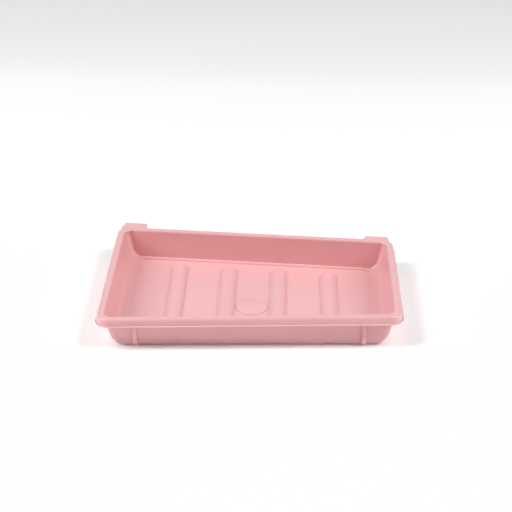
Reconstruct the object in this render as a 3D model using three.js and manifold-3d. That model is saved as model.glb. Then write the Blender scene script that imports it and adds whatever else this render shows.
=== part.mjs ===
// Shallow ribbed soap tray mould in pink plastic, one moulding shown as its named features.
// Millimetres, +Z up. X runs along the tray, the front is towards -Y, and the underside of the foot is z = 0.
// In plan the tray is a four-sided figure with straight ends and a front and back that close in to the right.

import * as THREE from "three";
import { mergeVertices } from "three/addons/utils/BufferGeometryUtils.js";
import Module from "manifold-3d";

// Overall sizes
const rimLength = 247.6; // over the two end skirts
const rimWidth = 156.6; // over the front and back skirts, at mid-length
const trayHeight = 28.5;
const frontTurn = degrees(2.7); // how far the front rim is turned from the X axis
const footTurn = degrees(1.7); // the same at the foot of the front wall
const backTurn = degrees(5); // how far the back is turned from the X axis, the other way

// Walls and floor
const floorThickness = 2;
const wallThickness = 1.8;
const sideDraft = degrees(3.5); // lean of the front and back walls
const endDraft = degrees(15); // lean of the end walls
const sideFootRadius = 1.2; // inside radius between the floor and the front or back wall
const endFootRadius = 10.5; // inside radius between the floor and an end wall
const cavityCorner = 7.5; // plan radius of the cavity's corners at the rim
const floorCorner = 3.5; // the same at the floor

// Rim
const rimFlat = 6.7; // from the skirt's outer face to the cavity
const rimThickness = 1.8;
const rimCorner = 11; // plan radius of the skirt's corners
const rimEdgeRadius = 2.2; // rounding between the rim's top and its skirt
const skirtDrop = 7;
const lipOut = 1.2;
const lipThickness = 1;

// Floor ridges, with a channel under each one that opens at the front foot
const ridgeCount = 4;
const ridgePitch = 44;
const ridgeWidth = 15;
const ridgeHeight = 3;
const ridgeStop = 12.2; // from the back of the floor to a ridge's back end
const channelWidth = 12.6;
const channelHeight = 2.2;

// Gate disc in the floor
const discBack = -10.3; // where its centre lies along Y
const discLand = 0.9; // floor left between the disc and the ridges beside it
const discProud = 0.3;

// Hang tabs on the back rim: [side, reach past the skirt]
const tabs = [
  { name: "left_hang_tab", side: -1, reach: 7.4 },
  { name: "right_hang_tab", side: 1, reach: 4.6 },
];
const tabEndInset = 15; // from the outer face of the end skirt to the middle of a tab
const tabWidth = 20.8;
const tabFlare = 2.4; // how much wider a tab is at its root, each side
const tabCorner = 1.6;
const tabThickness = 1.8;
const hookDrop = 12;

// Upright ribs on the outside of the front wall
const ribInset = 31; // from the outer face of the end skirt to a rib
const ribWidth = 4.2;
const ribDepth = 2.6;
const ribFoot = 2; // height of a rib's lower end

const gap = 0.3; // between neighbouring pieces
const cornerSteps = 6; // straight pieces in a plan corner
const arcSteps = 8; // straight pieces in a foot radius
const roundSteps = 72; // sides of a full circle
const beyond = 4; // how far a cutter runs past what it cuts

const pink = 0xe8a5a8;
const halfLength = rimLength / 2;
const halfWidth = rimWidth / 2;
const wallTop = trayHeight - rimThickness - gap;

function degrees(angle) {
  return (angle * Math.PI) / 180;
}

// Plan outlines. A side is the line at a distance from the origin, square to its angle.

// How far the front side is turned at a height.
function frontTurnAt(z) {
  return footTurn + (frontTurn - footTurn) * (z / trayHeight);
}

// The four sides, counterclockwise from the right, pulled in by endInset and sideInset.
function sidesAt(z, endInset, sideInset) {
  const front = frontTurnAt(z);
  return [
    { angle: 0, distance: halfLength - endInset },
    { angle: Math.PI / 2 - backTurn, distance: halfWidth * Math.cos(backTurn) - sideInset },
    { angle: Math.PI, distance: halfLength - endInset },
    { angle: (3 * Math.PI) / 2 + front, distance: halfWidth * Math.cos(front) - sideInset },
  ];
}

// The point where two sides meet, after both have come in by a radius.
function meeting(a, b, radius) {
  const [ca, sa, cb, sb] = [Math.cos(a.angle), Math.sin(a.angle), Math.cos(b.angle), Math.sin(b.angle)];
  const [da, db] = [a.distance - radius, b.distance - radius];
  const cross = ca * sb - sa * cb;
  return new THREE.Vector2((da * sb - db * sa) / cross, (db * ca - da * cb) / cross);
}

// The sides joined by round corners, as a ring of points.
function roundedRing(sides, radius) {
  const ring = [];
  sides.forEach((side, i) => {
    const next = sides[(i + 1) % sides.length];
    const centre = meeting(side, next, radius);
    const turn = (next.angle - side.angle + 2 * Math.PI) % (2 * Math.PI);
    for (let step = 0; step <= cornerSteps; step++) {
      const angle = side.angle + (turn * step) / cornerSteps;
      ring.push(new THREE.Vector2(Math.cos(angle), Math.sin(angle)).multiplyScalar(radius).add(centre));
    }
  });
  return ring;
}

// Solids

const wasm = await Module();
wasm.setup();

function solidFrom(geometry) {
  const bare = geometry.index ? geometry.toNonIndexed() : geometry.clone();
  bare.deleteAttribute("normal");
  bare.deleteAttribute("uv");
  const merged = mergeVertices(bare, 1e-4);
  return new wasm.Manifold(
    new wasm.Mesh({
      numProp: 3,
      vertProperties: merged.attributes.position.array,
      triVerts: new Uint32Array(merged.index.array),
    }),
  );
}

// An upright solid through rings of points, one ring for each height, with flat ends.
function stacked(levels) {
  const count = levels[0].ring.length;
  const points = levels.flatMap(({ z, ring }) => ring.flatMap((p) => [p.x, p.y, z]));
  const faces = [];
  for (let level = 0; level + 1 < levels.length; level++) {
    for (let i = 0; i < count; i++) {
      const low = level * count;
      const next = (i + 1) % count;
      faces.push(low + i, low + next, low + count + next, low + i, low + count + next, low + count + i);
    }
  }
  const top = (levels.length - 1) * count;
  for (const [a, b, c] of THREE.ShapeUtils.triangulateShape(levels[0].ring, [])) faces.push(a, c, b);
  for (const [a, b, c] of THREE.ShapeUtils.triangulateShape(levels.at(-1).ring, [])) {
    faces.push(top + a, top + b, top + c);
  }
  const geometry = new THREE.BufferGeometry();
  geometry.setAttribute("position", new THREE.Float32BufferAttribute(points, 3));
  geometry.setIndex(faces);
  return solidFrom(geometry);
}

// A straight-sided upright solid from z0 to z1.
function prism(ring, z0, z1) {
  const geometry = new THREE.ExtrudeGeometry(new THREE.Shape(ring), { depth: z1 - z0, bevelEnabled: false });
  return solidFrom(geometry.translate(0, 0, z0));
}

// A skin is a face of the tray, given by how far it lies outside the cavity at the walls and below the floor.
const insideSkin = { wall: 0, floor: 0 };
const outsideSkin = { wall: wallThickness, floor: floorThickness };
const clearOfOutside = { wall: wallThickness + gap, floor: floorThickness + gap };

// How far a skin stands inside the rim's cavity edge at height z: a leaning line that runs into a quarter
// ellipse at the foot, which is the foot radius made larger by the wall across and by the floor downwards.
function wallInset(z, skin, draft, footRadius) {
  const [lean, square] = [Math.sin(draft), Math.cos(draft)];
  const across = footRadius + skin.wall;
  const down = footRadius + skin.floor;
  const centreZ = floorThickness + footRadius;
  const centreInset = (trayHeight - centreZ) * Math.tan(draft) + footRadius / square;
  const reach = Math.hypot(across * square, down * lean);
  if (z >= centreZ - (down ** 2 * lean) / (reach || 1)) {
    return centreInset - reach / square - (z - centreZ) * Math.tan(draft);
  }
  return centreInset - across * Math.sqrt(Math.max(0, 1 - ((centreZ - z) / down) ** 2));
}

// A skin's ring at height z.
function skinRing(z, skin) {
  const share = Math.min(1, Math.max(0, z / trayHeight));
  const radius = floorCorner + (cavityCorner - floorCorner) * share + skin.wall;
  const endInset = rimFlat + wallInset(z, skin, endDraft, endFootRadius);
  const sideInset = rimFlat + wallInset(z, skin, sideDraft, sideFootRadius);
  return roundedRing(sidesAt(z, endInset, sideInset), radius);
}

// The solid inside a skin, from its lowest level up to z = top, with its levels close together low down.
function skinForm(skin, top) {
  const base = floorThickness - skin.floor;
  const rise = endFootRadius + skin.floor;
  const heights = [];
  for (let step = 0; step <= arcSteps; step++) {
    heights.push(base + rise * (1 - Math.cos(((Math.PI / 2) * step) / arcSteps)));
  }
  heights.push(top);
  return stacked(heights.map((z) => ({ z, ring: skinRing(z, skin) })));
}

// The flat of the floor: it stops where the foot radii begin.
const flatEnd = rimFlat + wallInset(floorThickness, insideSkin, endDraft, endFootRadius);
const flatSide = rimFlat + wallInset(floorThickness, insideSkin, sideDraft, sideFootRadius);
const footSides = sidesAt(0, flatEnd, flatSide);

function floorRing(grow) {
  return roundedRing(sidesAt(0, flatEnd - grow, flatSide - grow), floorCorner + grow);
}

const object = new THREE.Group();

function addPiece(name, solid) {
  const { vertProperties, triVerts, numProp } = solid.getMesh();
  const points = new Float32Array((vertProperties.length / numProp) * 3);
  for (let i = 0; i < points.length / 3; i++) {
    points.set(vertProperties.subarray(i * numProp, i * numProp + 3), i * 3);
  }
  const geometry = new THREE.BufferGeometry();
  geometry.setAttribute("position", new THREE.BufferAttribute(points, 3));
  geometry.setIndex(new THREE.BufferAttribute(new Uint32Array(triVerts), 1));
  const material = new THREE.MeshStandardMaterial({ color: pink, roughness: 0.38, metalness: 0 });
  const mesh = new THREE.Mesh(geometry, material);
  mesh.name = name;
  object.add(mesh);
}

// The corners are cut on the lines from the floor's corners to the rim's corners, so each wall and each
// side of the rim is a piece of its own.

const rimSides = sidesAt(trayHeight, 0, 0);
// Corners in the order back right, back left, front left, front right.
const corners = rimSides.map((side, i) => {
  const next = (i + 1) % rimSides.length;
  const outer = meeting(side, rimSides[next], 0);
  const inner = meeting(footSides[i], footSides[next], 0);
  const along = outer.clone().sub(inner);
  return { inside: inner.clone().sub(along), outside: outer.clone().add(along), along };
});

const cornerCuts = corners.map(({ inside, outside, along }) => {
  const plate = new THREE.BoxGeometry(inside.distanceTo(outside), gap, trayHeight + 2 * beyond);
  plate.rotateZ(Math.atan2(along.y, along.x));
  const middle = inside.clone().add(outside).multiplyScalar(0.5);
  return solidFrom(plate.translate(middle.x, middle.y, trayHeight / 2));
});

function uncornered(solid) {
  return cornerCuts.reduce((rest, cut) => rest.subtract(cut), solid);
}

// The part of a solid that lies between two neighbouring corner lines.
function sector(solid, sideIndex) {
  const from = corners[(sideIndex + corners.length - 1) % corners.length];
  const to = corners[sideIndex];
  const ring = [from.inside, from.outside, to.outside, to.inside];
  return solid.intersect(prism(ring, -beyond, trayHeight + beyond));
}

const sideNames = ["right", "back", "left", "front"];

// Ridges and their channels

// A round bar along Y with a ball at its back end, whose top stands height above z and is width wide at z.
function roundBar(width, height, z, x, endY) {
  const radius = (width ** 2 / 4 + height ** 2) / (2 * height);
  const length = rimWidth;
  const bar = new THREE.CylinderGeometry(radius, radius, length, roundSteps).translate(0, -length / 2, 0);
  const ball = new THREE.SphereGeometry(radius, roundSteps, roundSteps / 2);
  const centreY = endY - width / 2;
  const centreZ = z + height - radius;
  return solidFrom(bar.translate(x, centreY, centreZ)).add(solidFrom(ball.translate(x, centreY, centreZ)));
}

// The slot that a ridge fills in the floor: straight sides and a half-round back end.
function ridgeSlot(x, endY, grow) {
  const radius = ridgeWidth / 2 + grow;
  const slot = new THREE.Shape();
  slot.moveTo(x - radius, -rimWidth);
  slot.lineTo(x + radius, -rimWidth);
  slot.absarc(x, endY - ridgeWidth / 2, radius, 0, Math.PI, false);
  return prism(slot.getPoints(roundSteps / 4), -beyond, floorThickness + ridgeHeight + beyond);
}

const floorBack = footSides[1];
const ridges = Array.from({ length: ridgeCount }, (_, i) => {
  const x = (i - (ridgeCount - 1) / 2) * ridgePitch;
  const floorEnd = (floorBack.distance - x * Math.cos(floorBack.angle)) / Math.sin(floorBack.angle);
  const endY = floorEnd - ridgeStop;
  return {
    name: "floor_ridge_" + (i + 1),
    body: roundBar(ridgeWidth, ridgeHeight, floorThickness, x, endY),
    channel: roundBar(channelWidth, channelHeight, 0, x, endY - (ridgeWidth - channelWidth) / 2),
    slot: (grow) => ridgeSlot(x, endY, grow),
  };
});

// Floor

const floorBlock = prism(floorRing(0), 0, floorThickness);
const discRadius = ridgePitch / 2 - ridgeWidth / 2 - discLand;

function disc(radius, z0, z1) {
  const round = new THREE.CylinderGeometry(radius, radius, z1 - z0, roundSteps).rotateX(Math.PI / 2);
  return solidFrom(round.translate(0, discBack, (z0 + z1) / 2));
}

const discHole = disc(discRadius + gap, -beyond, floorThickness + beyond);
const slotted = ridges.reduce((rest, ridge) => rest.subtract(ridge.slot(gap)), floorBlock);
addPiece("floor_panel", slotted.subtract(discHole));
addPiece("gate_disc", disc(discRadius, 0, floorThickness + discProud));

const ridgeZone = prism(floorRing(0), 0, trayHeight);
for (const { name, body, channel, slot } of ridges) {
  addPiece(name, body.intersect(slot(0)).intersect(ridgeZone).subtract(channel));
}

// Walls

const cavity = skinForm(insideSkin, trayHeight + beyond);
const floorZone = prism(floorRing(gap), -beyond, trayHeight + beyond);
const wallShell = skinForm(outsideSkin, wallTop).subtract(cavity);
const channelled = ridges.reduce((rest, ridge) => rest.subtract(ridge.channel), wallShell);
const wallPieces = uncornered(channelled.subtract(floorZone));
sideNames.forEach((side, i) => {
  const name = i % 2 ? side + "_wall" : side + "_end_wall";
  addPiece(name, sector(wallPieces, i));
});

// Rim: a flat top, a rounded edge, a turned-down skirt and a thin lip round the skirt's lower edge

// The outside of the rim, grown by grow, down to z = bottom.
function rimForm(grow, bottom) {
  const edge = trayHeight - rimEdgeRadius;
  const levels = [{ z: bottom, ring: roundedRing(sidesAt(trayHeight, -grow, -grow), rimCorner + grow) }];
  for (let step = 0; step <= arcSteps; step++) {
    const angle = ((Math.PI / 2) * step) / arcSteps;
    const inset = rimEdgeRadius * (1 - Math.cos(angle)) - grow;
    const ring = roundedRing(sidesAt(trayHeight, inset, inset), rimCorner - inset);
    levels.push({ z: edge + (rimEdgeRadius + grow) * Math.sin(angle), ring });
  }
  return stacked(levels);
}

const skirtBottom = trayHeight - skirtDrop;
const skirtInside = roundedRing(sidesAt(trayHeight, rimThickness, rimThickness), rimCorner - rimThickness);
const lipRing = roundedRing(sidesAt(trayHeight, -lipOut, -lipOut), rimCorner + lipOut);
const rimShell = rimForm(0, skirtBottom)
  .add(prism(lipRing, skirtBottom, skirtBottom + lipThickness))
  .subtract(prism(skirtInside, -beyond, trayHeight - rimThickness))
  .subtract(cavity);
const rimPieces = uncornered(rimShell);
sideNames.forEach((side, i) => addPiece(side + "_rim", sector(rimPieces, i)));

// Hang tabs: a plate level with the rim's top that turns down at its end into a hook

const rimClearance = rimForm(gap, -beyond);
const backSkirt = rimSides[1];

// The tab's section, with outwards to the right and up as up, drawn round its outside and back inside.
function tabSection(reach) {
  const section = new THREE.Shape();
  const underside = trayHeight - tabThickness;
  const bend = rimEdgeRadius;
  section.moveTo(-rimFlat, underside);
  section.lineTo(reach - tabThickness, underside);
  section.lineTo(reach - tabThickness, trayHeight - hookDrop);
  section.lineTo(reach, trayHeight - hookDrop);
  section.lineTo(reach, trayHeight - bend);
  section.absarc(reach - bend, trayHeight - bend, bend, 0, Math.PI / 2, false);
  section.lineTo(-rimFlat, trayHeight);
  return section;
}

// The tab in plan, with its end corners rounded and its root flared.
function tabPlan(reach) {
  const half = tabWidth / 2;
  const root = half + tabFlare;
  const flareEnd = Math.min(tabFlare, reach / 2);
  const plan = new THREE.Shape();
  plan.moveTo(-root, -rimFlat);
  plan.lineTo(root, -rimFlat);
  plan.lineTo(root, 0);
  plan.quadraticCurveTo(half, 0, half, flareEnd);
  plan.absarc(half - tabCorner, reach - tabCorner, tabCorner, 0, Math.PI / 2, false);
  plan.absarc(tabCorner - half, reach - tabCorner, tabCorner, Math.PI / 2, Math.PI, false);
  plan.lineTo(-half, flareEnd);
  plan.quadraticCurveTo(-half, 0, -root, 0);
  return plan;
}

for (const { name, side, reach } of tabs) {
  const x = side * (halfLength - tabEndInset);
  const y = (backSkirt.distance - x * Math.cos(backSkirt.angle)) / Math.sin(backSkirt.angle);
  const place = new THREE.Matrix4().makeRotationZ(-backTurn).setPosition(x, y, 0);
  const span = tabWidth + 2 * tabFlare;
  const bent = new THREE.ExtrudeGeometry(tabSection(reach), {
    depth: span,
    bevelEnabled: false,
    curveSegments: arcSteps,
  });
  // The section's right becomes +Y, its up becomes +Z, and the extrusion runs along X.
  const stand = new THREE.Matrix4().makeBasis(
    new THREE.Vector3(0, 1, 0),
    new THREE.Vector3(0, 0, 1),
    new THREE.Vector3(1, 0, 0),
  );
  bent.applyMatrix4(stand).translate(-span / 2, 0, 0).applyMatrix4(place);
  const flat = new THREE.ExtrudeGeometry(tabPlan(reach), {
    depth: trayHeight + beyond,
    bevelEnabled: false,
    curveSegments: arcSteps,
  }).applyMatrix4(place);
  addPiece(name, solidFrom(bent).intersect(solidFrom(flat)).subtract(rimClearance));
}

// Ribs: half-round bars against the outside of the front wall, from near the foot up to the rim

const wallClearance = skinForm(clearOfOutside, trayHeight);
const behindSkirt = rimThickness + gap;
const skirtHollow = roundedRing(sidesAt(trayHeight, behindSkirt, behindSkirt), rimCorner - behindSkirt);
const skirtClearance = rimForm(gap, skirtBottom - gap).subtract(prism(skirtHollow, -beyond, trayHeight));

// Where the outer face of the front wall lies along Y, at a place along X and a height.
function frontFace(x, z) {
  const side = sidesAt(z, 0, rimFlat + wallInset(z, outsideSkin, sideDraft, 0))[3];
  return (side.distance - x * Math.cos(side.angle)) / Math.sin(side.angle);
}

for (const [name, side] of [["left_front_rib", -1], ["right_front_rib", 1]]) {
  const x = side * (halfLength - ribInset);
  const footY = frontFace(x, ribFoot);
  const lean = Math.atan2(footY - frontFace(x, wallTop), wallTop - ribFoot);
  const half = ribWidth / 2;
  const section = new THREE.Shape();
  section.moveTo(half, half - ribDepth);
  section.lineTo(half, wallThickness);
  section.lineTo(-half, wallThickness);
  section.lineTo(-half, half - ribDepth);
  section.absarc(0, half - ribDepth, half, Math.PI, 2 * Math.PI, false);
  const bar = new THREE.ExtrudeGeometry(section, {
    depth: 2 * trayHeight,
    bevelEnabled: false,
    curveSegments: arcSteps,
  });
  bar.translate(0, 0, -beyond).rotateX(lean).translate(x, footY, ribFoot);
  const ribZone = new THREE.BoxGeometry(rimLength, 2 * rimWidth, wallTop - ribFoot);
  const zone = solidFrom(ribZone.translate(0, 0, (wallTop + ribFoot) / 2));
  addPiece(name, solidFrom(bar).intersect(zone).subtract(wallClearance).subtract(skirtClearance));
}

// The origin is the middle of the object's box, on the surface it stands on.
const extent = new THREE.Box3().setFromObject(object);
object.position.set(-(extent.min.x + extent.max.x) / 2, -(extent.min.y + extent.max.y) / 2, 0);

export default object;
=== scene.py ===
# A shallow soap tray mould in pink plastic: one moulding with a rolled rim, four hollow floor ridges,
# two hang tabs on the back and two upright ribs on the front. Metres, +Z up, the front towards -Y.
import math

import bpy
import numpy as np
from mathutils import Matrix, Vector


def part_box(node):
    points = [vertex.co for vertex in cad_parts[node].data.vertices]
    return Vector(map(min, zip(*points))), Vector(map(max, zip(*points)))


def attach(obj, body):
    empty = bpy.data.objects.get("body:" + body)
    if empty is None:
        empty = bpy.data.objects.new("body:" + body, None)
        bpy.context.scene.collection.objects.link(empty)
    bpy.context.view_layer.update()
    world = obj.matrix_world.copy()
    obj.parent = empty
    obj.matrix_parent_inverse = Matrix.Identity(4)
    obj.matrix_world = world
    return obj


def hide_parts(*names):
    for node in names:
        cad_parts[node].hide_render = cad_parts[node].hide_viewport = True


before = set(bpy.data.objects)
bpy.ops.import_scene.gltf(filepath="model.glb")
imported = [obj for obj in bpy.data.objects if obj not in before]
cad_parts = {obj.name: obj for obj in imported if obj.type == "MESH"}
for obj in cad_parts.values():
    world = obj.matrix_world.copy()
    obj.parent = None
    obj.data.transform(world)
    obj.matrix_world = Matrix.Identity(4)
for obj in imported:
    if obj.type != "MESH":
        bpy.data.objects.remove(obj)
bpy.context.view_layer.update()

scene = bpy.context.scene
mm = 0.001

# ---------------------------------------------------------------------------------------------------
# Camera. A long lens looks down on the front of the tray from a little to the right of its middle,
# at a point above the floor of the tray towards its back.

camera_distance = 1.2038
camera_elevation = math.radians(27.24)
camera_turn = math.radians(1.47)
camera_aim = (0.0029, 0.0127, 0.0355)
camera_data = bpy.data.cameras.new("camera")
camera_data.sensor_width = 36
camera_data.lens = 98.44
camera_data.clip_start = 0.05
camera_data.clip_end = 20
camera = bpy.data.objects.new("camera", camera_data)
scene.collection.objects.link(camera)
camera.rotation_euler = (math.pi / 2 - camera_elevation, 0, camera_turn)
camera.location = (
    camera_aim[0] + camera_distance * math.cos(camera_elevation) * math.sin(camera_turn),
    camera_aim[1] - camera_distance * math.cos(camera_elevation) * math.cos(camera_turn),
    camera_aim[2] + camera_distance * math.sin(camera_elevation),
)
scene.camera = camera

# ---------------------------------------------------------------------------------------------------
# Studio. A white table, a tall soft lamp on each side, a wide one behind that shows in the glossy floor,
# and a dim even surround.

table_reach = 6.0
table_mesh = bpy.data.meshes.new("table")
table_mesh.from_pydata(
    [(-table_reach, -table_reach, 0), (table_reach, -table_reach, 0),
     (table_reach, table_reach, 0), (-table_reach, table_reach, 0)],
    [], [(0, 1, 2, 3)],
)
table = bpy.data.objects.new("table", table_mesh)
scene.collection.objects.link(table)
table_finish = bpy.data.materials.new("white_table")
table_finish.use_nodes = True
table_shader = table_finish.node_tree.nodes["Principled BSDF"]
table_shader.inputs["Base Color"].default_value = (0.97, 0.97, 0.97, 1)
table_shader.inputs["Roughness"].default_value = 0.7
# A faint glow of its own keeps the table white where the tray shades it.
table_shader.inputs["Emission Color"].default_value = (1, 1, 1, 1)
table_shader.inputs["Emission Strength"].default_value = 0.08
table_mesh.materials.append(table_finish)


def soft_lamp(name, place, size, power):
    """A rectangular area lamp at place that faces the tray, size wide and high."""
    data = bpy.data.lights.new(name, "AREA")
    data.shape = "RECTANGLE"
    data.size, data.size_y = size
    data.energy = power
    lamp = bpy.data.objects.new(name, data)
    lamp.visible_camera = False
    scene.collection.objects.link(lamp)
    lamp.location = place
    lamp.rotation_euler = (math.atan2(math.hypot(place[0], place[1]), place[2]), 0,
                           math.atan2(place[0], -place[1]))


soft_lamp("left_lamp", (-1.1, -0.22, 1.05), (0.5, 1.2), 26)
soft_lamp("right_lamp", (1.1, -0.22, 1.05), (0.5, 1.2), 23.5)
soft_lamp("back_lamp", (0, 1.9, 1.35), (1.7, 1.7), 4)
surround = bpy.data.worlds.new("surround")
surround.use_nodes = True
surround.node_tree.nodes["Background"].inputs["Color"].default_value = (1, 1, 1, 1)
surround.node_tree.nodes["Background"].inputs["Strength"].default_value = 0.03
scene.world = surround
scene.view_settings.view_transform = "Standard"

# The film: an even response with a soft shoulder, given as pairs of the light and how bright it shows, so
# the brightest pinks keep their colour.
film_white = 1.4
scene.view_settings.use_curve_mapping = True
film = scene.view_settings.curve_mapping
film.white_level = (film_white, film_white, film_white)
shoulder = ((0.5, 0.5), (0.8, 0.765), (1.0, 0.885), (1.1, 0.985))
for light, shown in shoulder:
    film.curves[3].points.new(light / film_white, shown)
film.update()

# ---------------------------------------------------------------------------------------------------
# Floor panel. The flat bottom of the moulding, 2 mm of polypropylene. In plan the tray is four-sided:
# its ends are straight across, and its front and back close in to the right. The floor dips a little
# round the gate, and a faint round mark is left in it by the mould's ejector.

lip_out = 1.2 * mm
half_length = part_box("right_rim")[1].x - lip_out
half_width = 78.3 * mm
tray_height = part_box("back_rim")[1].z
gate_low, gate_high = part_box("gate_disc")
gate_y = (gate_low.y + gate_high.y) / 2
middle_y = gate_y + 10.3 * mm
front_turn = math.radians(2.7)
foot_turn = math.radians(1.7)
back_turn = math.radians(5)
floor_thickness = 2 * mm
wall_thickness = 1.8 * mm
rim_flat = 6.7 * mm
side_draft = math.radians(3.5)
end_draft = math.radians(15)
side_foot_radius = 1.2 * mm
end_foot_radius = 10.5 * mm
right, back, left, front = range(4)


def side_angles(z):
    """The outward directions of the right, back, left and front sides. The front's turn grows evenly
    from the foot up to the rim."""
    turn = foot_turn + (front_turn - foot_turn) * z / tray_height
    level = np.zeros_like(turn)
    return [level, level + math.pi / 2 - back_turn, level + math.pi, 1.5 * math.pi + turn]


def side_distances(end_inset, side_inset, z):
    """How far each side's line lies from the tray's middle, measured square to the line."""
    end = half_length - end_inset
    front_square = np.cos(side_angles(z)[front] - 1.5 * math.pi)
    return [end, half_width * math.cos(back_turn) - side_inset, end, half_width * front_square - side_inset]


def corner_point(corner, share, end_inset, side_inset, z, radius):
    """A point on the round corner after side number corner, share of the way round: the centre is where
    the two sides meet once both have come in by the radius, and the point is a radius away from it."""
    after = (corner + 1) % 4
    angles, distances = side_angles(z), side_distances(end_inset, side_inset, z)
    first, second = angles[corner], angles[after]
    d_first, d_second = distances[corner] - radius, distances[after] - radius
    cross = np.cos(first) * np.sin(second) - np.sin(first) * np.cos(second)
    x = (d_first * np.sin(second) - d_second * np.sin(first)) / cross
    y = (d_second * np.cos(first) - d_first * np.cos(second)) / cross
    angle = first + np.mod(second - first, 2 * math.pi) * share
    return x + radius * np.cos(angle), y + radius * np.sin(angle)


def side_y(side, x, side_inset, z):
    """Where the back or front side's line lies along Y at x."""
    angle = side_angles(z)[side]
    return (side_distances(0, side_inset, z)[side] - x * np.cos(angle)) / np.sin(angle)


def wall_inset(z, wall, floor, draft, foot_radius):
    """How far a wall's face stands inside the rim's cavity edge at height z: a leaning line that runs
    into a quarter ellipse at the foot. wall and floor are 0 for the inside, and the thicknesses for the
    outside."""
    across, down = foot_radius + wall, foot_radius + floor
    centre_z = floor_thickness + foot_radius
    centre = (tray_height - centre_z) * math.tan(draft) + foot_radius / math.cos(draft)
    reach = math.hypot(across * math.cos(draft), down * math.sin(draft))
    line = centre - reach / math.cos(draft) - (z - centre_z) * math.tan(draft)
    arc = centre - across * np.sqrt(np.clip(1 - ((centre_z - z) / down) ** 2, 0, 1))
    return np.where(z >= centre_z - down ** 2 * math.sin(draft) / reach, line, arc)


# The grid: its middle block is the floor, with columns along X and rows along Y, and each further ring
# of points is one level outwards, round the corners too. Columns and rows crowd round what is raised.
flange = 4 * mm
foot_step = 1.2 * mm
block_end_inset = rim_flat + wall_inset(floor_thickness, 0, 0, end_draft, end_foot_radius) + flange
block_side_inset = (rim_flat + wall_inset(floor_thickness, 0, 0, side_draft, side_foot_radius)
                    + foot_step + flange)
block_end = half_length - block_end_inset

ridge_nodes = ["floor_ridge_1", "floor_ridge_2", "floor_ridge_3", "floor_ridge_4"]
ridge_boxes = [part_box(node) for node in ridge_nodes]
ridge_x = np.array([(low.x + high.x) / 2 for low, high in ridge_boxes])
ridge_width = ridge_boxes[0][1].x - ridge_boxes[0][0].x
ridge_height = ridge_boxes[0][1].z - floor_thickness
ridge_margin = 1.2 * mm
tip_setback = side_y(back, ridge_x[0], block_side_inset, 0.0) + middle_y - ridge_boxes[0][1].y
ejector_mark = (44.8 * mm, 22.9 * mm)
ejector_radius = 10.6 * mm
gate_radius = (gate_high.x - gate_low.x) / 2

across_ridge = np.sin(np.radians(np.linspace(-90, 90, 31))) * ridge_width / 2
beside_ridge = ridge_width / 2 + np.array([0.12, 0.3, 0.6, 1.2]) * mm
ridge_lines = np.concatenate([across_ridge, beside_ridge, -beside_ridge])
gate_columns = np.linspace(-12.6, 12.6, 43) * mm
mark_columns = ejector_mark[0] + np.linspace(-12, 12, 37) * mm
plain_columns = np.array([-52, -44, -36, 33]) * mm
spread_from = 76 * mm
spread_columns = np.linspace(spread_from, block_end, 6)
closest_columns = 0.05 * mm
columns = np.concatenate([np.add.outer(ridge_x, ridge_lines).ravel(), gate_columns, mark_columns,
                          plain_columns, spread_columns, -spread_columns])
columns = np.unique(np.round(columns, 6))
columns = columns[np.concatenate([[True], np.diff(columns) > closest_columns])]
last_column = len(columns) - 1
tip_rows = tip_setback + np.linspace(8.5, -1.2, 27) * mm
mark_rows = np.linspace(54, 29, 41) * mm
gate_rows = np.linspace(88, 58, 49) * mm
plain_rows = np.array([26, 22]) * mm
back_rows = np.linspace(5, 0, 3) * mm
setbacks = np.concatenate([gate_rows, mark_rows, plain_rows, tip_rows, back_rows])
front_shares = np.linspace(0, 1, 15)[:-1]
last_row = len(front_shares) + len(setbacks) - 1


def row_y(row, front_y, back_y):
    """Where a row lies along Y between the front and back lines: the back rows at set distances from the
    back, and the rest spread evenly in front of them."""
    start = back_y - setbacks[0]
    even = front_y + (start - front_y) * front_shares[np.clip(row, 0, len(front_shares) - 1)]
    setback = setbacks[np.clip(row - len(front_shares), 0, len(setbacks) - 1)]
    return np.where(row < len(front_shares), even, back_y - setback)


def grid_lines(last_level):
    """The column and row numbers of every point of a grid that runs out to last_level."""
    return np.meshgrid(np.arange(-last_level, last_column + last_level + 1),
                       np.arange(-last_level, last_row + last_level + 1), indexing="ij")


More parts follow.
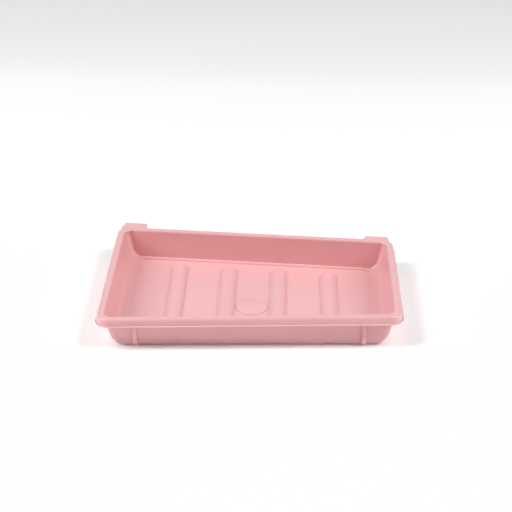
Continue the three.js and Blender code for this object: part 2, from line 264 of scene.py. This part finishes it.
def grid_points(first_level, levels, height_rule):
    """The grid's points, as an array over columns and rows. A point outside the floor block belongs to
    the level that is its larger distance in steps from the block. On a straight side it keeps its column
    or row, and on a corner it goes round by its place along the level's bend. The levels give the end
    inset, side inset, height and corner radius from first_level outwards."""
    column, row = grid_lines(first_level + len(levels[0]) - 1)
    out_x = np.maximum(np.maximum(-column, column - last_column), 0)
    out_y = np.maximum(np.maximum(-row, row - last_row), 0)
    level = np.maximum(out_x, out_y)
    end_inset, side_inset, z, radius = (values[np.clip(level - first_level, 0, None)] for values in levels)
    place = (end_inset, side_inset, z, radius)

    base = columns[np.clip(column, 0, last_column)]
    beyond = np.clip(np.abs(base) - spread_from, 0, None) / (block_end - spread_from)
    lines = []
    for side, left_corner, right_corner in ((front, (left, 1), (front, 0)), (back, (back, 0), (right, 1))):
        left_x = corner_point(*left_corner, *place)[0]
        right_x = corner_point(*right_corner, *place)[0]
        limit = np.where(base < 0, -left_x, right_x)
        x = np.sign(base) * (np.minimum(np.abs(base), spread_from) + beyond * (limit - spread_from))
        lines.append((x, side_y(side, x, side_inset, z)))
    (front_x, front_y), (back_x, back_y) = lines

    x = np.where(row > last_row, back_x, front_x)
    y = np.where(row > last_row, back_y, np.where(row < 0, front_y, row_y(row, front_y, back_y)))
    for beside, front_corner, back_corner, sign in (
        (column < 0, (left, 0), (back, 1), -1),
        (column > last_column, (front, 1), (right, 0), 1),
    ):
        low = corner_point(*front_corner, *place)[1]
        high = corner_point(*back_corner, *place)[1]
        straight = beside & (row >= 0) & (row <= last_row)
        x = np.where(straight, sign * (half_length - end_inset), x)
        y = np.where(straight, row_y(np.clip(row, 0, last_row), low, high), y)
    along = np.where(out_x == level, out_y, 2 * level - out_x) / np.maximum(2 * level, 1)
    for corner, here, share in (
        (right, (column > last_column) & (row > last_row), along),
        (back, (column < 0) & (row > last_row), 1 - along),
        (left, (column < 0) & (row < 0), along),
        (front, (column > last_column) & (row < 0), 1 - along),
    ):
        corner_x, corner_y = corner_point(corner, share, *place)
        x, y = np.where(here, corner_x, x), np.where(here, corner_y, y)
    y = y + middle_y
    return np.stack([x, y, height_rule(x, y, z)], axis=-1)


def closed_patch(over, under, wanted):
    """The points and faces of a closed piece of the moulding: the wanted squares of the upper grid, those
    of the lower grid turned over, and a strip between the two along each edge of the patch."""
    count = over.shape[0] * over.shape[1]
    index = np.arange(count).reshape(over.shape[:2])
    squares = np.stack([index[:-1, :-1], index[1:, :-1], index[1:, 1:], index[:-1, 1:]], axis=-1)
    top = squares[wanted]
    edges = np.concatenate([top[:, [k, (k + 1) % 4]] for k in range(4)])
    keys, twins = edges[:, 0] * count + edges[:, 1], edges[:, 1] * count + edges[:, 0]
    open_edges = edges[~np.isin(keys, twins)]
    strip = np.stack([open_edges[:, 1], open_edges[:, 0],
                      open_edges[:, 0] + count, open_edges[:, 1] + count], axis=-1)
    faces = np.concatenate([top, top[:, ::-1] + count, strip])
    points = np.concatenate([over.reshape(-1, 3), under.reshape(-1, 3)])
    used, packed = np.unique(faces, return_inverse=True)
    return points[used], packed.reshape(faces.shape).tolist()


def mesh_piece(name, points, faces, crease=40):
    """A smooth-shaded mesh object from points and faces, with edges sharper than crease kept sharp."""
    mesh = bpy.data.meshes.new(name)
    mesh.from_pydata(points.tolist(), [], faces)
    mesh.shade_smooth()
    mesh.set_sharp_from_angle(angle=math.radians(crease))
    piece = bpy.data.objects.new(name, mesh)
    scene.collection.objects.link(piece)
    return piece


def blended_higher(a, b, softness):
    """The higher of two heights, with a small fillet where they cross: the larger value plus a quarter
    of the square of their closeness."""
    close = np.clip(softness - np.abs(a - b), 0, None) / softness
    return np.maximum(a, b) + close ** 2 * softness / 4


# A ridge's section and its back end.
ridge_fullness = 2.2
ridge_squareness = 0.62
ridge_fillet = 0.45 * mm
end_fullness = 5


def ridge_top(x, y, width, height, base, shorter, fullness, squareness):
    """The height of the nearest ridge's or channel's surface, or far below where there is none. At u of
    the way from the spine to the edge it is height times (1 - u^p)^squareness above the base. The spine's
    back end is round in plan, and p grows there from fullness, so the end falls more steeply."""
    top = np.full(np.shape(x), -1.0)
    for low, high in ridge_boxes:
        ball_y = high.y - shorter - width / 2
        past = np.maximum(y - ball_y, 0) / (width / 2)
        u = np.hypot((x - (low.x + high.x) / 2) / (width / 2), past)
        power = fullness + end_fullness * (past / np.maximum(u, 0.001)) ** 2
        rise = height * np.clip(1 - u ** power, 0, 1) ** squareness
        top = np.maximum(top, np.where(u < 1, base + rise, -1.0))
    return top


def smooth_step(value, low, high):
    """0 below low and 1 above high, with a smooth cubic between."""
    share = np.clip((value - low) / (high - low), 0, 1)
    return share * share * (3 - 2 * share)


# A fine groove runs along the foot of the front and back walls, on the cavity side of the small step
# there.
groove_width = 1.4 * mm
groove_depth = 1.4 * mm
groove_fullness = 0.5
groove_end = 107.5 * mm
groove_fade = 2 * mm


def foot_groove(x, y):
    """The groove's depth: full at the step's face, and from there the square root of how much of the
    width is left, so it is steepest at the floor."""
    depth = np.zeros(np.shape(x))
    for side in (front, back):
        angle = side_angles(np.array(floor_thickness))[side]
        line = side_distances(0, 0, np.array(floor_thickness))[side]
        inset = line - (x * np.cos(angle) + (y - middle_y) * np.sin(angle))
        share = (inset - (block_side_inset - flange)) / groove_width
        here = (share > -0.02) & (share < 1)
        depth = np.maximum(depth, np.where(here, (1 - np.clip(share, 0, 1)) ** groove_fullness, 0))
    return groove_depth * depth * (1 - smooth_step(np.abs(x), groove_end - groove_fade, groove_end))


gate_dip = 0.75 * mm
gate_dip_from = gate_radius + 0.1 * mm
gate_dip_to = gate_radius + 1.3 * mm
mark_depth = 0.3 * mm
mark_line = 0.5 * mm
flat_tolerance = 0.01 * mm


def upper_height(x, y, z):
    """The inside surface: the level's height, less the foot grooves, the dip round the gate and the ring
    of the ejector mark, which falls off as a bell curve, and with the ridges standing out of it."""
    gate_away = np.hypot(x, y - gate_y)
    dip = gate_dip * (1 - smooth_step(gate_away, gate_dip_from, gate_dip_to))
    mark_away = np.hypot(x - ejector_mark[0], y - ejector_mark[1])
    ring = mark_depth * np.exp(-((mark_away - ejector_radius) / mark_line) ** 2)
    flat = z - np.where(z < floor_thickness + flat_tolerance, foot_groove(x, y) + dip + ring, 0)
    ridges = ridge_top(x, y, ridge_width, ridge_height, floor_thickness, 0, ridge_fullness, ridge_squareness)
    return blended_higher(flat, ridges, ridge_fillet)


channel_width = 12.6 * mm
channel_height = 2.2 * mm
channel_fullness = 2
channel_squareness = 1
channel_fillet = 0.3 * mm


def lower_height(x, y, z):
    """The underside: the level's height, and the hollow channels under the ridges."""
    shorter = (ridge_width - channel_width) / 2
    channels = ridge_top(x, y, channel_width, channel_height, 0, shorter, channel_fullness,
                         channel_squareness)
    return blended_higher(z, channels, channel_fillet)


def block_level(side_inset, z):
    """The floor block as a single level with sharp corners."""
    return [np.array([value]) for value in (block_end_inset, side_inset, z, 0.0)]


floor_over = grid_points(0, block_level(block_side_inset, floor_thickness), upper_height)
floor_under = grid_points(0, block_level(block_side_inset, 0.0), lower_height)
square_column, square_row = (lines[:-1, :-1] for lines in grid_lines(0))
ridge_reach = ridge_width / 2 + ridge_margin - 0.001 * mm
rows_behind_ridges = 3
ridge_squares = []
for x in ridge_x:
    first, last = np.searchsorted(columns, [x - ridge_reach, x + ridge_reach])
    ridge_squares.append((square_column >= first - 1) & (square_column < last)
                         & (square_row < last_row - rows_behind_ridges))
floor_squares = ~np.logical_or.reduce(ridge_squares)

plastic_pink = (0.765, 0.378, 0.388, 1)
plastic = bpy.data.materials.new("pink_plastic")
plastic.use_nodes = True
nodes, links = plastic.node_tree.nodes, plastic.node_tree.links
shader = nodes["Principled BSDF"]
shader.inputs["IOR"].default_value = 1.49
place = nodes.new("ShaderNodeTexCoord").outputs["Object"]


def noise(scale, detail, roughness):
    """Noise over the object, scale cells to the metre."""
    node = nodes.new("ShaderNodeTexNoise")
    node.inputs["Scale"].default_value = scale
    node.inputs["Detail"].default_value = detail
    node.inputs["Roughness"].default_value = roughness
    links.new(place, node.inputs["Vector"])
    return node.outputs["Fac"]


def spread(value, low, high):
    """The middle of a noise's range, stretched to run from low to high."""
    node = nodes.new("ShaderNodeMapRange")
    node.inputs["From Min"].default_value = 0.3
    node.inputs["From Max"].default_value = 0.7
    node.inputs["To Min"].default_value = low
    node.inputs["To Max"].default_value = high
    node.clamp = False
    links.new(value, node.inputs["Value"])
    return node.outputs["Result"]


cloud = nodes.new("ShaderNodeHueSaturation")
cloud.inputs["Color"].default_value = plastic_pink
links.new(spread(noise(9, 2, 0.5), 0.997, 1.003), cloud.inputs["Value"])
links.new(spread(noise(13, 2, 0.5), 0.996, 1.004), cloud.inputs["Saturation"])
links.new(cloud.outputs["Color"], shader.inputs["Base Color"])
links.new(spread(noise(45, 3, 0.5), 0.175, 0.185), shader.inputs["Roughness"])
skin = nodes.new("ShaderNodeBump")
skin.inputs["Strength"].default_value = 0.01
skin.inputs["Distance"].default_value = 0.00001
links.new(noise(900, 3, 0.5), skin.inputs["Height"])
links.new(skin.outputs["Normal"], shader.inputs["Normal"])


def fit_piece(piece, node):
    """Gives a piece the plastic, ties it to the tray and lets it stand for its CAD node."""
    piece.data.materials.append(plastic)
    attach(piece, "root")
    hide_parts(node)


fit_piece(mesh_piece("floor_moulding", *closed_patch(floor_over, floor_under, floor_squares)), "floor_panel")

# ---------------------------------------------------------------------------------------------------
# Floor ridges. Four ribs pressed up out of the floor, each hollow underneath, which keep the floor flat
# and leave drain channels in the soap.

for node, squares in zip(ridge_nodes, ridge_squares):
    name = node.removeprefix("floor_") + "_moulding"
    fit_piece(mesh_piece(name, *closed_patch(floor_over, floor_under, squares)), node)

# ---------------------------------------------------------------------------------------------------
# Gate disc. The round pad in the middle of the floor where the plastic entered the mould, very slightly
# domed, with a fine edge.

dome_rise = 0.9 * mm
dome_drop = 0.25 * mm
disc_edge = 0.15 * mm
disc_sides = 120


def turned_form(radii, heights, centre, steps):
    """A round closed form: the profile turned about an upright axis through centre, from a point on the
    axis out and down to a flat underside."""
    turns = np.linspace(0, 2 * math.pi, steps, endpoint=False)
    ring_r, ring_z = radii[1:], heights[1:]
    x = centre[0] + ring_r[:, None] * np.cos(turns)
    y = centre[1] + ring_r[:, None] * np.sin(turns)
    z = np.broadcast_to(ring_z[:, None], x.shape)
    points = np.concatenate([[[centre[0], centre[1], heights[0]]], np.stack([x, y, z], -1).reshape(-1, 3)])
    here = np.arange(steps)
    after = (here + 1) % steps
    faces = np.stack([np.zeros(steps, int), 1 + here, 1 + after], -1).tolist()
    for ring in range(len(ring_r) - 1):
        a, b = 1 + ring * steps, 1 + (ring + 1) * steps
        faces += np.stack([a + here, b + here, b + after, a + after], -1).tolist()
    faces.append((1 + (len(ring_r) - 1) * steps + here[::-1]).tolist())
    return points, faces


# The dome is a parabola over the share of its radius, and a small rounded edge follows it.
share = np.linspace(0, 1, 13)
dome_radii = share * (gate_radius - disc_edge)
dome_heights = floor_thickness - dome_drop + dome_rise * (1 - share ** 2)
edge_radii = gate_radius + np.array([-0.04, 0, 0]) * mm
edge_heights = floor_thickness + np.array([-0.29, -0.4, -1.2]) * mm
disc_radii = np.concatenate([dome_radii, edge_radii])
disc_heights = np.concatenate([dome_heights, edge_heights])
disc_form = turned_form(disc_radii, disc_heights, (0, gate_y), disc_sides)
fit_piece(mesh_piece("gate_disc_moulding", *disc_form, crease=50), "gate_disc")

# ---------------------------------------------------------------------------------------------------
# Walls. They lean outwards and keep one thickness, with a wide foot radius at the ends and a small step
# at the foot of the front and back. The channels under the ridges come out through the front foot.

wall_top = tray_height - 3.5 * mm
foot_step_height = 0.8 * mm
step_rounding = 0.15 * mm
step_ledge = 0.05 * mm
flange_shares = np.array([1.0, 0.8, 0.6, 0.42, 0.275, 0.2, 0.14, 0.09, 0.05, 0.02])
inner_rises = np.array([0, 0.03, 0.12, 0.3, 0.5, 0.65, 0.73, 0.77, 0.795, 0.815, 0.85, 0.92, 1.05,
                        1.25, 1.6, 2.1, 2.8, 3.7, 4.8, 6.1, 7.6, 9.4, 11.6, 14.5, 18.5]) * mm
outer_rises = np.array([0, 0.03, 0.1, 0.2, 0.34, 0.5, 0.7, 0.95, 1.2, 1.45, 1.7, 2.0, 2.3, 2.7, 3.2,
                        4.0, 5.0, 6.2, 7.8, 9.6, 11.6, 13.6, 15.8, 18, 21.5]) * mm


def step_out(rise):
    """How far the small step stands out from the wall at a height above the floor: its full depth up to
    its top, whose edge is a quarter circle, and nothing a hair above that."""
    round_off = np.clip((rise - foot_step_height + step_rounding) / step_rounding, 0, 1)
    edge = step_rounding * (1 - np.sqrt(1 - round_off ** 2))
    gone = smooth_step(rise, foot_step_height, foot_step_height + step_ledge)
    return (foot_step - edge) * (1 - gone)


def inside_corner(z):
    """The plan radius of the cavity's corners: small at the floor, and opening out under the rim."""
    return np.interp(z, np.array([2, 22, 25, 28.5]) * mm, np.array([2.4, 4.2, 5, 7.5]) * mm)


def wall_levels(rises, wall, floor):
    """The levels from the floor block out to the cut below the rim. The first ones lie on the flat, and
    their corners open out from sharp to round."""
    z = np.append(floor_thickness - floor + rises, wall_top)
    end = rim_flat + wall_inset(z, wall, floor, end_draft, end_foot_radius)
    side = rim_flat + wall_inset(z, wall, floor, side_draft, side_foot_radius)
    side = side + (step_out(z - floor_thickness) if wall == 0 else 0)
    radius = inside_corner(z) + wall
    in_end, in_side = block_end_inset - end[0], block_side_inset - side[0]
    flat = [end[0] + in_end * flange_shares, side[0] + in_side * flange_shares,
            np.full(len(flange_shares), z[0]), radius[0] * (1 - flange_shares)]
    return [np.concatenate(pair) for pair in zip(flat, (end, side, z, radius))]


def side_squares(first_level, last_level):
    """Which squares of a ring of levels belong to each side. The ends take the corners."""
    column, row = grid_lines(last_level)
    out_x = np.maximum(np.maximum(-column, column - last_column), 0)
    out_y = np.maximum(np.maximum(-row, row - last_row), 0)
    level = np.maximum(out_x, out_y)
    lowest = np.minimum.reduce([level[:-1, :-1], level[1:, :-1], level[:-1, 1:], level[1:, 1:]])
    column, row, ring = column[:-1, :-1], row[:-1, :-1], lowest >= first_level
    between = ring & (column >= 0) & (column < last_column)
    inside_block = (row >= 0) & (row < last_row)
    return {
        "left": ring & (column < 0),
        "right": ring & (column >= last_column),
        "front": between & (row < 0),
        "back": between & (row >= last_row) & ~inside_block,
    }


wall_over_levels = wall_levels(inner_rises, 0, 0)
wall_under_levels = wall_levels(outer_rises, wall_thickness, floor_thickness)
rim_level = len(wall_over_levels[0]) - 1
walls_over = grid_points(0, wall_over_levels, upper_height)
walls_under = grid_points(0, wall_under_levels, lower_height)
for side, squares in side_squares(0, rim_level).items():
    node = side + ("_end_wall" if side in ("left", "right") else "_wall")
    fit_piece(mesh_piece(node + "_moulding", *closed_patch(walls_over, walls_under, squares)), node)

# ---------------------------------------------------------------------------------------------------
# Rim. The walls' top edge is rolled out into a flat band, turned down as a skirt and finished with a
# thin lip, which stiffens the tray all round.

roll_radius = 1.8 * mm
edge_radius = 2.4 * mm
rim_thickness = 1.8 * mm
rim_corner = 11 * mm
mouth_corner = 7.5 * mm
under_bend = 0.8 * mm
skirt_drop = 7 * mm
skirt_lean = 0.3 * mm
lip_thickness = 1 * mm
lip_fillet = 0.4 * mm
rim_crown = 0.08 * mm
rim_top = tray_height - 0.03 * mm


def arc(centre_inset, centre_z, radius, start, end, steps):
    """Points on a circle, by angle in degrees from straight inwards, turning towards up."""
    angles = np.radians(np.linspace(start, end, steps))
    return centre_inset + radius * np.cos(angles), centre_z + radius * np.sin(angles)


def roll_inset(z, draft):
    """The inside of the rim at height z: the wall's line, then a round edge into the flat top."""
    centre_z = rim_top - roll_radius
    centre = rim_flat + roll_radius * math.tan(draft) - roll_radius / math.cos(draft)
    line = rim_flat + (tray_height - z) * math.tan(draft)
    bend = centre + np.sqrt(np.clip(roll_radius ** 2 - (z - centre_z) ** 2, 0, None))
    return np.where(z <= centre_z + roll_radius * math.sin(draft), line, bend)


def rim_upper_levels():
    """The upper side of the rim's section: up the last of the wall, over the round inner edge, along the
    slightly crowned top, round the outer edge, down the skirt and out over the lip."""
    plain_z = np.linspace(wall_top, rim_top - roll_radius, 4)[:-1]
    roll_z = rim_top - roll_radius + roll_radius * np.sin(np.linspace(side_draft, math.pi / 2, 9))
    z_up = np.concatenate([plain_z, roll_z])
    end_up, side_up = roll_inset(z_up, end_draft), roll_inset(z_up, side_draft)
    outer = edge_radius + skirt_lean
    share = np.linspace(0, 1, 7)[1:-1]
    end_flat = end_up[-1] + (outer - end_up[-1]) * share
    side_flat = side_up[-1] + (outer - side_up[-1]) * share
    edge_in, edge_z = arc(outer, rim_top - edge_radius, edge_radius, 90, 180, 11)
    lip_top = tray_height - skirt_drop + lip_thickness
    fillet_in, fillet_z = arc(-lip_fillet, lip_top + lip_fillet, lip_fillet, 0, -90, 5)
    bead = lip_thickness / 2
    bead_in, bead_z = arc(bead - lip_out, lip_top - bead, bead, 90, 270, 9)
    down_in = np.concatenate([edge_in, fillet_in, bead_in])
    down_z = np.concatenate([edge_z, fillet_z, bead_z])
    end = np.concatenate([end_up, end_flat, down_in])
    side = np.concatenate([side_up, side_flat, down_in])
    z = np.concatenate([z_up, np.full(len(share), rim_top), down_z])
    across = np.clip((side - outer) / (side_up[-1] - outer), 0, 1)
    z = z - rim_crown * (2 * across - 1) ** 2 * (z > rim_top - flat_tolerance)
    corners = [rim_corner + lip_out, rim_corner - edge_radius, mouth_corner, inside_corner(wall_top)]
    radius = np.interp(side, [-lip_out, edge_radius, rim_flat, side[0]], corners)
    return [end, side, z, radius]


def rim_lower_levels(count):
    """The underside of the rim's section, with count levels as the upper side has: up the outside of the
    wall, round into the underside of the flat, and down inside the skirt."""
    under_z = tray_height - rim_thickness
    bend = under_bend
    outside_z = np.array([wall_top, under_z - bend])
    outside = [rim_flat + wall_inset(outside_z, wall_thickness, floor_thickness, draft, foot_radius)
               for draft, foot_radius in ((end_draft, end_foot_radius), (side_draft, side_foot_radius))]
    turn_in, turn_z = arc(0, under_z - bend, bend, 0, 90, 6)
    skirt_in, skirt_z = arc(rim_thickness + bend, under_z - bend, bend, 90, 180, 6)
    left_over = count - 1 - len(turn_z) - len(skirt_z)
    fall = np.linspace(0, 1, left_over + 1)[1:]
    down_z = skirt_z[-1] + (tray_height - skirt_drop - skirt_z[-1]) * fall
    down_in = rim_thickness - skirt_lean * fall
    end, side = (np.concatenate([wall[:1], wall[1] - bend + turn_in, skirt_in, down_in]) for wall in outside)
    z = np.concatenate([[wall_top], turn_z, skirt_z, down_z])
    radius = np.interp(side, [rim_thickness, side[0]],
                       [rim_corner - rim_thickness, inside_corner(wall_top) + wall_thickness])
    return [end, side, z, radius]


rim_upper = rim_upper_levels()
rim_over = grid_points(rim_level, rim_upper, lambda x, y, z: z)
rim_under = grid_points(rim_level, rim_lower_levels(len(rim_upper[0])), lambda x, y, z: z)
for side, squares in side_squares(rim_level, rim_level + len(rim_upper[0]) - 1).items():
    band = mesh_piece(side + "_rim_moulding", *closed_patch(rim_over, rim_under, squares))
    fit_piece(band, side + "_rim")

# ---------------------------------------------------------------------------------------------------
# Hang tabs. Two plates run out of the back rim, level with its top, and turn down into hooks that hang
# the tray on an edge. The left one reaches further, because the back closes in to the right.

tab_end_inset = 15 * mm
tab_width = 20.8 * mm
tab_flare = 1.2 * mm
tab_corner = 1.6 * mm
tab_thickness = 1.8 * mm
bend_fullness = 6
tab_root = 3.6 * mm
hook_drop = 12 * mm
tab_edge = 0.55 * mm
root_sink = 0.12 * mm
root_rise = 1.6 * mm
# The long corners of a bar are rounded by this share of its edge.
bar_corner = 0.98


def swept_bar(name, centres, outward, across, half_widths, half_thicknesses, edge):
    """A bar carried along a path: at each station a rectangle with corners rounded by edge, half_width
    each way along the across direction and half_thickness each way along the station's outward
    direction. Two more points on each broad face keep the shading of its flat even."""
    steps = 6
    turns = np.radians(np.concatenate([90 * k + np.linspace(0, 90, steps) for k in range(4)]))
    sign_x = np.repeat([1, -1, -1, 1], steps)
    sign_y = np.repeat([1, 1, -1, -1], steps)
    wide = (half_widths - edge)[:, None] * sign_x + edge * np.cos(turns)
    thick = (half_thicknesses - edge)[:, None] * sign_y + edge * np.sin(turns)
    flat_x = (half_widths - edge)[:, None] * np.array([0.9, -0.9])
    flat_y = np.repeat(half_thicknesses[:, None], 2, axis=1)
    broad, other = steps, 3 * steps
    wide = np.concatenate([wide[:, :broad], flat_x, wide[:, broad:other], flat_x[:, ::-1],
                           wide[:, other:]], axis=1)
    thick = np.concatenate([thick[:, :broad], flat_y, thick[:, broad:other], -flat_y,
                            thick[:, other:]], axis=1)
    points = (centres[:, None] + wide[..., None] * np.array(across)[None, None]
              + thick[..., None] * outward[:, None])
    stations, ring = wide.shape
    here = np.arange(ring)
    after = (here + 1) % ring
    faces = []
    for station in range(stations - 1):
        a, b = station * ring, (station + 1) * ring
        faces += np.stack([a + here, a + after, b + after, b + here], -1).tolist()
    faces.append(here[::-1].tolist())
    faces.append(((stations - 1) * ring + here).tolist())
    return mesh_piece(name, points.reshape(-1, 3), faces)


def hang_tab(name, x, reach):
    """A tab with the middle of its root at x on the back skirt: along from inside the rim, round the
    bend, and down the hook to a rounded tip. At an angle round the bend it is the thickness times
    (cos^n + sin^n)^(-1/n) deep, which keeps the outer edge fairly square. Its half width is flared at
    the root by the square of the distance, and rounded off at the outer corners in plan. Inside the rim
    the root sinks a little, so it lies under the rim's top."""
    plate = np.linspace(-tab_root, reach - tab_thickness, 24)
    bend = np.radians(np.linspace(90, 0, 11)[1:])
    swell = (np.cos(bend) ** bend_fullness + np.sin(bend) ** bend_fullness) ** (-1 / bend_fullness)
    leg = np.linspace(tab_thickness, hook_drop - tab_edge, 8)[1:]
    tip = np.radians(np.linspace(0, 90, 5)[1:])
    out = np.concatenate([plate, reach - tab_thickness + tab_thickness / 2 * swell * np.cos(bend),
                          np.full(len(leg) + len(tip), reach - tab_thickness / 2)])
    up = np.concatenate([np.full(len(plate), tray_height - tab_thickness / 2),
                         tray_height - tab_thickness + tab_thickness / 2 * swell * np.sin(bend),
                         tray_height - leg, tray_height - hook_drop + tab_edge - tab_edge * np.sin(tip)])
    up = up - root_sink * (1 - smooth_step(out, -tab_root, -root_rise))
    lean = np.concatenate([np.full(len(plate), math.pi / 2), bend, np.zeros(len(leg) + len(tip))])
    shrink = np.concatenate([np.zeros(len(plate) + len(bend) + len(leg)), tab_edge * (1 - np.cos(tip))])
    flare_end = min(tab_flare, reach / 2)
    flare = tab_flare * np.clip(1 - out / flare_end, 0, 1) ** 2
    flare = np.where(out < 0, tab_flare, flare)
    past_plate = lean < math.pi / 2
    face = np.minimum(out + tab_thickness / 2 * past_plate, reach)
    corner_in = np.clip(face - (reach - tab_corner), 0, tab_corner)
    corner = tab_corner - np.sqrt(tab_corner ** 2 - corner_in ** 2)
    half_widths = tab_width / 2 + flare - corner - shrink
    y = side_y(back, x, 0, np.array(tray_height)) + middle_y
    away = np.array([math.sin(back_turn), math.cos(back_turn), 0])
    along = np.array([math.cos(back_turn), -math.sin(back_turn), 0])
    centres = np.array([x, y, 0]) + out[:, None] * away + up[:, None] * np.array([0, 0, 1])
    outward = np.cos(lean)[:, None] * away + np.sin(lean)[:, None] * np.array([0, 0, 1])
    depth = np.full(len(out), tab_thickness)
    depth[len(plate):len(plate) + len(bend)] *= swell
    return swept_bar(name, centres, outward, -along, half_widths, depth / 2 - shrink, tab_edge * bar_corner)


for side, sign, reach in (("left", -1, 7.4 * mm), ("right", 1, 4.6 * mm)):
    tab = hang_tab(side + "_tab_moulding", sign * (half_length - tab_end_inset), reach)
    fit_piece(tab, side + "_hang_tab")

# ---------------------------------------------------------------------------------------------------
# Front ribs. Two upright bars on the outside of the front wall, from under the rim almost to the foot,
# with rounded edges and a rounded lower end.

rib_inset = 31 * mm
rib_width = 4.2 * mm
rib_depth = 2.4 * mm
rib_foot = 1.6 * mm
rib_edge = 1.1 * mm
rib_sunk = 0.6 * mm
rib_top = tray_height - 2.4 * mm
rib_stations = 24


def front_rib(name, x):
    """A rib at x that follows the leaning face of the front wall, from under the rim down to its round
    lower end."""
    tip = np.radians(np.linspace(0, 90, 7)[1:])
    z = np.concatenate([np.linspace(rib_top, rib_foot + rib_edge, rib_stations),
                        rib_foot + rib_edge * (1 - np.sin(tip))])
    shrink = np.concatenate([np.zeros(rib_stations), rib_edge * (1 - np.cos(tip))])
    inset = rim_flat + wall_inset(z, wall_thickness, floor_thickness, side_draft, side_foot_radius)
    face_y = side_y(front, x, inset, z) + middle_y
    half_thickness = (rib_depth + rib_sunk) / 2
    centres = np.stack([np.full(len(z), x), face_y + rib_sunk - half_thickness, z], -1)
    outward = np.broadcast_to(np.array([0.0, -1.0, 0.0]), centres.shape)
    return swept_bar(name, centres, outward, (-1, 0, 0), rib_width / 2 - shrink,
                     half_thickness - shrink, rib_edge * bar_corner)


for side, sign in (("left", -1), ("right", 1)):
    rib = front_rib(side + "_rib_moulding", sign * (half_length - rib_inset))
    fit_piece(rib, side + "_front_rib")
